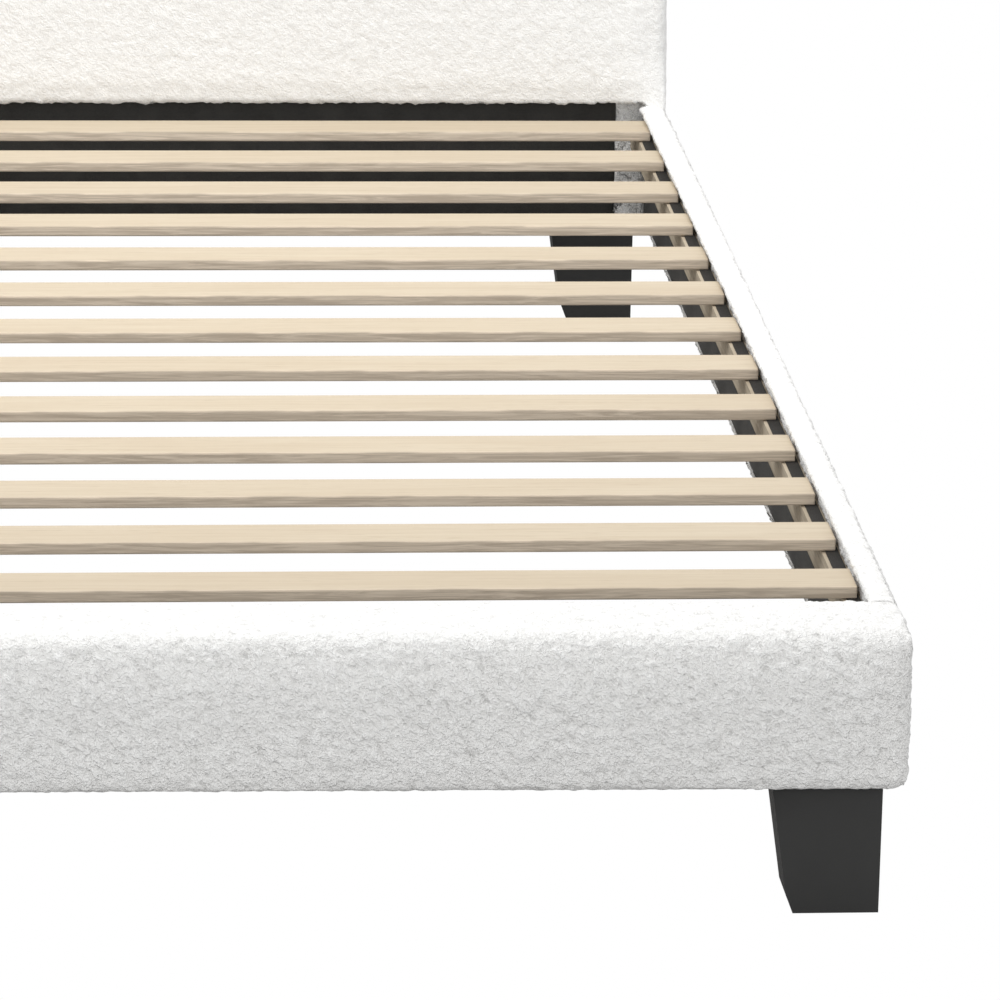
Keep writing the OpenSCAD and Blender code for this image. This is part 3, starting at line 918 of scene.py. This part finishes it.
def boucle_material():
    """Matt looped fabric: pale loops, with painted shade between them, painted near-black shadow in
    the deepest crevices and painted highlights on some loop tips.
    """
    crevice_shadow, shade, half_shade = (0.26, 0.26, 0.25), (0.70, 0.695, 0.68), (0.85, 0.845, 0.83)
    pale, loop_highlight, gap = (0.91, 0.91, 0.90), (0.98, 0.98, 0.97), (0.10, 0.10, 0.095)
    s = Shader("boucle_fabric")
    s.fixed(Roughness=1.0, Specular_IOR_Level=0.15, Sheen_Weight=0.12, Sheen_Roughness=0.6)
    pile = s.add("ShaderNodeAttribute", attribute_name="pile").outputs["Fac"]
    nap = s.add("ShaderNodeAttribute", attribute_name="nap").outputs["Fac"]
    flow = s.add("ShaderNodeMapping", vector_type="TEXTURE")
    s.put(s.place, flow.inputs["Vector"])
    flow.inputs["Rotation"].default_value = (0.0, math.radians(42), math.radians(8))
    flow.inputs["Scale"].default_value = (1.45, 1.0, 1.0)
    curls = s.noise(flow.outputs["Vector"], 175, detail=2.0, roughness=0.6)
    strands = s.noise(s.place, 520, detail=1.0)
    worn = s.noise(s.place, 26, detail=2.0)
    curl_height = s.between(curls, 0.3, 0.7)
    # Painted shade in the hollows: the lower the pile and the curls, the darker the colour, with a
    # little random tone on top.
    depth = s.math("MULTIPLY_ADD", pile, 0.55, s.math("MULTIPLY", curl_height, 0.45))
    depth = s.math("MULTIPLY_ADD", s.math("SUBTRACT", worn, 0.5), 0.10, depth)
    tone = s.blend(s.between(depth, 0.02, 0.16), crevice_shadow, shade)
    tone = s.blend(s.between(depth, 0.14, 0.38), tone, half_shade)
    tone = s.blend(s.between(depth, 0.4, 0.9), tone, pale)
    # Painted highlights on the tips of the fine strands.
    tone = s.blend(s.between(strands, 0.58, 0.66, 0.0, 0.8), tone, loop_highlight)
    # Painted near-black shadow where the pile is lowest.
    tone = s.blend(s.between(pile, 0.0, 0.16, 0.8, 0.0), tone, gap)
    s.colour(tone)
    height = s.math("MULTIPLY_ADD", strands, 0.45, curls)
    s.bump(s.math("MULTIPLY", height, nap), 6.0 * MM, 0.9)
    return s.material


def slat_material():
    """Pale layered wood: short pores on the faces, long wavy layers on the edges, and a rounded
    arris between them, lighter and darker by turns: partly sanded wood, partly a painted highlight.
    """
    face_dark, face_pale = (0.545, 0.458, 0.34), (0.577, 0.494, 0.374)
    grain, pore = (0.50, 0.412, 0.30), (0.41, 0.325, 0.222)
    edge_dark, edge_pale, layer = (0.49, 0.41, 0.32), (0.70, 0.60, 0.48), (0.43, 0.355, 0.27)
    arris_dark, arris_pale = (0.46, 0.385, 0.30), (0.63, 0.53, 0.415)
    s = Shader("slat_wood")
    s.fixed(Specular_IOR_Level=0.25)
    up = s.math("ABSOLUTE", s.facing("Z"))
    broad = s.noise(s.scaled((1.2, 9.0, 9.0)), 2.2, detail=3.0, distortion=0.6)
    pores = s.noise(s.scaled((26.0, 620.0, 620.0)), 1.0, detail=2.0, roughness=0.6)
    fine = s.noise(s.scaled((7.0, 260.0, 260.0)), 1.0, detail=3.0)
    face = s.blend(s.between(broad, 0.3, 0.7), face_dark, face_pale)
    face = s.blend(s.between(fine, 0.35, 0.7, 0.0, 0.35), face, grain)
    face = s.blend(s.between(pores, 0.60, 0.72, 0.0, 0.6), face, pore)
    wave = s.noise(s.scaled((8.5, 40.0, 190.0)), 1.0, detail=4.0, distortion=1.8, roughness=0.62)
    layers = s.noise(s.scaled((1.1, 14.0, 420.0)), 1.0, detail=2.0, distortion=0.8)
    edge = s.blend(s.between(wave, 0.36, 0.66), edge_dark, edge_pale)
    edge = s.blend(s.between(layers, 0.5, 0.68, 0.0, 0.5), edge, layer)
    # Arris tone along the edge: partly sanded wood, partly a painted highlight on the rounded edge.
    sanding_and_highlight = s.noise(s.scaled((16.0, 3.0, 3.0)), 1.0, detail=2.0)
    arris = s.blend(s.between(sanding_and_highlight, 0.38, 0.62), arris_dark, arris_pale)
    tone = s.blend(s.between(up, 0.15, 0.3), edge, arris)
    tone = s.blend(s.between(up, 0.9, 0.99), tone, face)
    s.colour(tone)
    s.rough(s.between(fine, 0.3, 0.8, 0.5, 0.66))
    relief = s.math("MULTIPLY_ADD", pores, -0.8, s.math("MULTIPLY", wave, 0.5))
    s.bump(relief, 0.25 * MM, 0.6)
    return s.material


def timber_material(name, light, dark, coarse):
    """Sawn softwood with its grain along the longest way of the timber."""
    s = Shader(name)
    s.fixed(Specular_IOR_Level=0.2)
    rings = s.noise(s.scaled((2.5, 5.0, 60.0 * coarse)), 1.0, detail=4.0, distortion=1.2)
    fibre = s.noise(s.scaled((18.0, 18.0, 700.0)), 1.0, detail=2.0)
    tone = s.blend(s.between(rings, 0.35, 0.68), light, dark)
    tone = s.blend(s.between(fibre, 0.45, 0.75, 0.0, 0.3), tone, dark)
    s.colour(tone)
    s.rough(s.between(fibre, 0.3, 0.7, 0.6, 0.8))
    s.bump(s.math("ADD", rings, fibre), 0.4 * MM, 0.5)
    return s.material


def lining_material():
    """Black nonwoven cloth: matted fibres and a faint pressed grid."""
    s = Shader("lining_cloth")
    s.fixed(Specular_IOR_Level=0.2, Sheen_Weight=0.08, Sheen_Roughness=0.5)
    fibres = s.noise(s.place, 900, detail=3.0, distortion=1.5)
    cloud = s.noise(s.place, 34, detail=2.0)
    dots = s.cells(s.place, 420, "SMOOTH_F1")
    tone = s.blend(s.between(fibres, 0.35, 0.7), (0.029, 0.028, 0.026), (0.052, 0.050, 0.046))
    tone = s.blend(s.between(cloud, 0.35, 0.7, 0.0, 0.4), tone, (0.060, 0.058, 0.054))
    s.colour(tone)
    s.rough(s.between(fibres, 0.3, 0.7, 0.75, 0.95))
    s.bump(s.math("MULTIPLY_ADD", dots, 0.6, fibres), 0.3 * MM, 0.6)
    return s.material


def tape_material():
    """Black hook and loop tape with fine diagonal rows."""
    s = Shader("hook_tape")
    s.fixed(Specular_IOR_Level=0.25)
    turned = s.add("ShaderNodeMapping")
    s.put(s.place, turned.inputs["Vector"])
    turned.inputs["Rotation"].default_value = (0.0, 0.0, math.radians(38))
    rows = s.add("ShaderNodeTexWave", bands_direction="X")
    s.put(turned.outputs["Vector"], rows.inputs["Vector"])
    rows.inputs["Scale"].default_value = 160
    rows.inputs["Distortion"].default_value = 0.6
    hooks = s.noise(s.place, 1500, detail=1.0)
    height = s.math("MULTIPLY_ADD", hooks, 0.6, rows.outputs["Fac"])
    s.colour(s.blend(s.between(height, 0.3, 1.3), (0.012, 0.011, 0.010), (0.045, 0.042, 0.039)))
    s.rough(s.between(hooks, 0.3, 0.7, 0.6, 0.85))
    s.bump(height, 0.4 * MM, 0.8)
    return s.material


def leg_material():
    """Black painted wood, with a fine skin and slightly lighter sharp edges."""
    s = Shader("leg_paint")
    s.fixed(Specular_IOR_Level=0.3)
    skin = s.noise(s.place, 700, detail=2.0)
    cloud = s.noise(s.place, 16, detail=3.0)
    sharp = s.add("ShaderNodeNewGeometry").outputs["Pointiness"]
    tone = s.blend(s.between(cloud, 0.35, 0.7), (0.021, 0.021, 0.0205), (0.026, 0.026, 0.0255))
    # Sharp edges are a little lighter.
    tone = s.blend(s.between(sharp, 0.53, 0.62, 0.0, 0.4), tone, (0.055, 0.055, 0.054))
    s.colour(tone)
    s.rough(s.between(skin, 0.3, 0.7, 0.5, 0.62))
    s.bump(skin, 0.12 * MM, 0.4)
    return s.material


def moulded_material():
    """Black moulded plastic for the middle legs."""
    s = Shader("moulded_plastic")
    s.fixed(Specular_IOR_Level=0.4)
    grain = s.cells(s.place, 900)
    cloud = s.noise(s.place, 22, detail=2.0)
    s.colour(s.blend(s.between(cloud, 0.3, 0.7), (0.020, 0.020, 0.021), (0.032, 0.032, 0.033)))
    s.rough(s.between(grain, 0.1, 0.6, 0.42, 0.6))
    s.bump(grain, 0.15 * MM, 0.5)
    return s.material


def metal_material(name, tone, dark, roughness, metallic):
    """Brushed metal with faint cloudy spots."""
    s = Shader(name)
    s.fixed(Metallic=metallic)
    spots = s.cells(s.place, 260)
    brushed = s.noise(s.place, 340, detail=3.0)
    s.colour(s.blend(s.between(spots, 0.1, 0.9), tone, dark))
    s.rough(s.between(brushed, 0.3, 0.7, roughness, roughness + 0.18))
    s.bump(brushed, 0.08 * MM, 0.5)
    return s.material


def foam_material():
    """Cream open-cell foam."""
    s = Shader("foam")
    pores = s.cells(s.place, 700)
    s.colour(s.blend(s.between(pores, 0.0, 0.7), (0.74, 0.70, 0.52), (0.84, 0.80, 0.62)))
    s.fixed(Roughness=0.95)
    s.bump(pores, 0.8 * MM, 0.8)
    return s.material


def board_material():
    """Pressed board: fine chips all over."""
    s = Shader("pressed_board")
    s.fixed(Specular_IOR_Level=0.2)
    chips = s.cells(s.scaled((180.0, 180.0, 320.0)), 1.0)
    cloud = s.noise(s.place, 12, detail=3.0)
    tone = s.blend(s.between(chips, 0.1, 0.8), (0.62, 0.49, 0.33), (0.47, 0.35, 0.22))
    s.colour(s.blend(s.between(cloud, 0.3, 0.7, 0.0, 0.4), tone, (0.55, 0.42, 0.27)))
    s.rough(s.between(chips, 0.1, 0.8, 0.65, 0.85))
    s.bump(chips, 0.3 * MM, 0.5)
    return s.material


def make_materials():
    """One material for each slot of the record, and one for the ledges."""
    black, worn_black = (0.03, 0.03, 0.032), (0.05, 0.05, 0.052)
    zinc, dull_zinc = (0.62, 0.62, 0.63), (0.48, 0.49, 0.5)
    pine, pine_dark = (0.60, 0.46, 0.28), (0.44, 0.31, 0.17)
    ledge, ledge_dark = (0.50, 0.43, 0.33), (0.38, 0.32, 0.24)
    return {
        "boucle": boucle_material(),
        "foam": foam_material(),
        "board": board_material(),
        "timber": timber_material("frame_timber", pine, pine_dark, coarse=1.0),
        "ledger": timber_material("ledge_timber", ledge, ledge_dark, coarse=1.6),
        "lining": lining_material(),
        "hook_tape": tape_material(),
        "black_steel": metal_material("black_steel", black, worn_black, roughness=0.4, metallic=0.6),
        "leg_black": leg_material(),
        "centre_leg_black": moulded_material(),
        "zinc_steel": metal_material("zinc_steel", zinc, dull_zinc, roughness=0.28, metallic=1.0),
        "slat_wood": slat_material(),
    }


def slot_of_nodes():
    """The record's material slot of each CAD node."""
    parts = frame["record"]["subparts"]
    return {part["node"]: part["material_slot"] for part in parts if part.get("material_slot")}


def bevelled(node, width):
    """Softens the edges of a CAD node with modifiers. Its mesh stays as it is."""
    weld = node.modifiers.new("joined_corners", "WELD")
    weld.merge_threshold = 0.02 * MM
    bevel = node.modifiers.new("eased_edges", "BEVEL")
    bevel.width = width
    bevel.segments = 2
    bevel.limit_method = "ANGLE"
    bevel.angle_limit = math.radians(35)
    bevel.harden_normals = False


BEVELS = {
    "slat_wood": 1.8 * MM,
    "leg_black": 1.5 * MM,
    "timber": 1.0 * MM,
    "board": 0.6 * MM,
    "hook_tape": 0.25 * MM,
    "centre_leg_black": 0.8 * MM,
    "black_steel": 0.5 * MM,
}


def dress_cad_nodes():
    """Gives every CAD node its material and eases its edges."""
    slots = slot_of_nodes()
    for name, node in NODES.items():
        slot = slots[name]
        look = "ledger" if name.startswith("ledger") else slot
        node.data.materials.clear()
        node.data.materials.append(MATERIALS[look])
        if slot in BEVELS:
            bevelled(node, BEVELS[slot])


# ---- stage, light and camera

CAMERA_PLACE = (0.0173, -6.8270, 2.1351)
CAMERA_TURN = (73.287, -1.203, -4.878)
CAMERA_LENS = 236.58
SENSOR_WIDTH = 36.0
FLOOR_HALF = 30.0
FLOOR_GREY = 0.45
STUDIO_STRENGTH = 0.92


def white_to_camera(tree, lit, white):
    """Shows white to the camera and the lit shader to every other ray."""
    path = tree.nodes.new("ShaderNodeLightPath")
    mix = tree.nodes.new("ShaderNodeMixShader")
    tree.links.new(path.outputs["Is Camera Ray"], mix.inputs["Fac"])
    tree.links.new(lit.outputs[0], mix.inputs[1])
    tree.links.new(white.outputs[0], mix.inputs[2])
    return mix


def floor_stage():
    """A pale floor just under the legs. The camera sees it as plain white."""
    corners = np.array([[x, y, 0.0] for x in (-1, 1) for y in (-1, 1)]) * FLOOR_HALF
    floor = mesh_object("floor", corners - np.array([0, 0, 0.5 * MM]), [[0, 2, 3, 1]])
    material = bpy.data.materials.new("pale_floor")
    material.use_nodes = True
    tree = material.node_tree
    tree.nodes.clear()
    lit = tree.nodes.new("ShaderNodeBsdfDiffuse")
    lit.inputs["Color"].default_value = (FLOOR_GREY, FLOOR_GREY, FLOOR_GREY, 1.0)
    white = tree.nodes.new("ShaderNodeEmission")
    white.inputs["Strength"].default_value = 1.0
    out = tree.nodes.new("ShaderNodeOutputMaterial")
    tree.links.new(white_to_camera(tree, lit, white).outputs[0], out.inputs["Surface"])
    floor.data.materials.append(material)


def studio_world():
    """Even pale light from all round, and plain white behind the bed."""
    world = bpy.data.worlds.new("studio")
    bpy.context.scene.world = world
    world.use_nodes = True
    tree = world.node_tree
    tree.nodes.clear()
    lit = tree.nodes.new("ShaderNodeBackground")
    lit.inputs["Strength"].default_value = STUDIO_STRENGTH
    white = tree.nodes.new("ShaderNodeBackground")
    white.inputs["Strength"].default_value = 1.0
    for node in (lit, white):
        node.inputs["Color"].default_value = (1.0, 1.0, 1.0, 1.0)
    out = tree.nodes.new("ShaderNodeOutputWorld")
    tree.links.new(white_to_camera(tree, lit, white).outputs[0], out.inputs["Surface"])


def soft_box(name, place, aim, size, power):
    """A rectangular studio lamp that the camera doesn't see."""
    light = bpy.data.lights.new(name, "AREA")
    light.shape = "RECTANGLE"
    light.size, light.size_y = size
    light.energy = power
    lamp = bpy.data.objects.new(name, light)
    bpy.context.scene.collection.objects.link(lamp)
    lamp.visible_camera = False
    lamp.location = place
    lamp.rotation_euler = (Vector(aim) - Vector(place)).to_track_quat("-Z", "Y").to_euler()


def photo_camera():
    data = bpy.data.cameras.new("camera")
    data.lens = CAMERA_LENS
    data.sensor_width = SENSOR_WIDTH
    camera = bpy.data.objects.new("camera", data)
    bpy.context.scene.collection.objects.link(camera)
    camera.location = CAMERA_PLACE
    camera.rotation_euler = [math.radians(angle) for angle in CAMERA_TURN]
    bpy.context.scene.camera = camera


def stage():
    photo_camera()
    floor_stage()
    studio_world()
    soft_box("over_bed", place=(0.0, 0.0, 2.6), aim=(0.0, 1.15, 0.45), size=(2.4, 1.4), power=46)
    soft_box("front_key", place=(-0.8, -4.5, 1.9), aim=(0.0, -0.4, 0.3), size=(1.8, 1.2), power=26)
    bpy.context.scene.view_settings.view_transform = "Standard"


MATERIALS = make_materials()
stage()
dress_cad_nodes()
foot_rail_boucle()
side_rail_boucle("left")
side_rail_boucle("right")
headboard_boucle()
headboard_linings()
rail_linings()
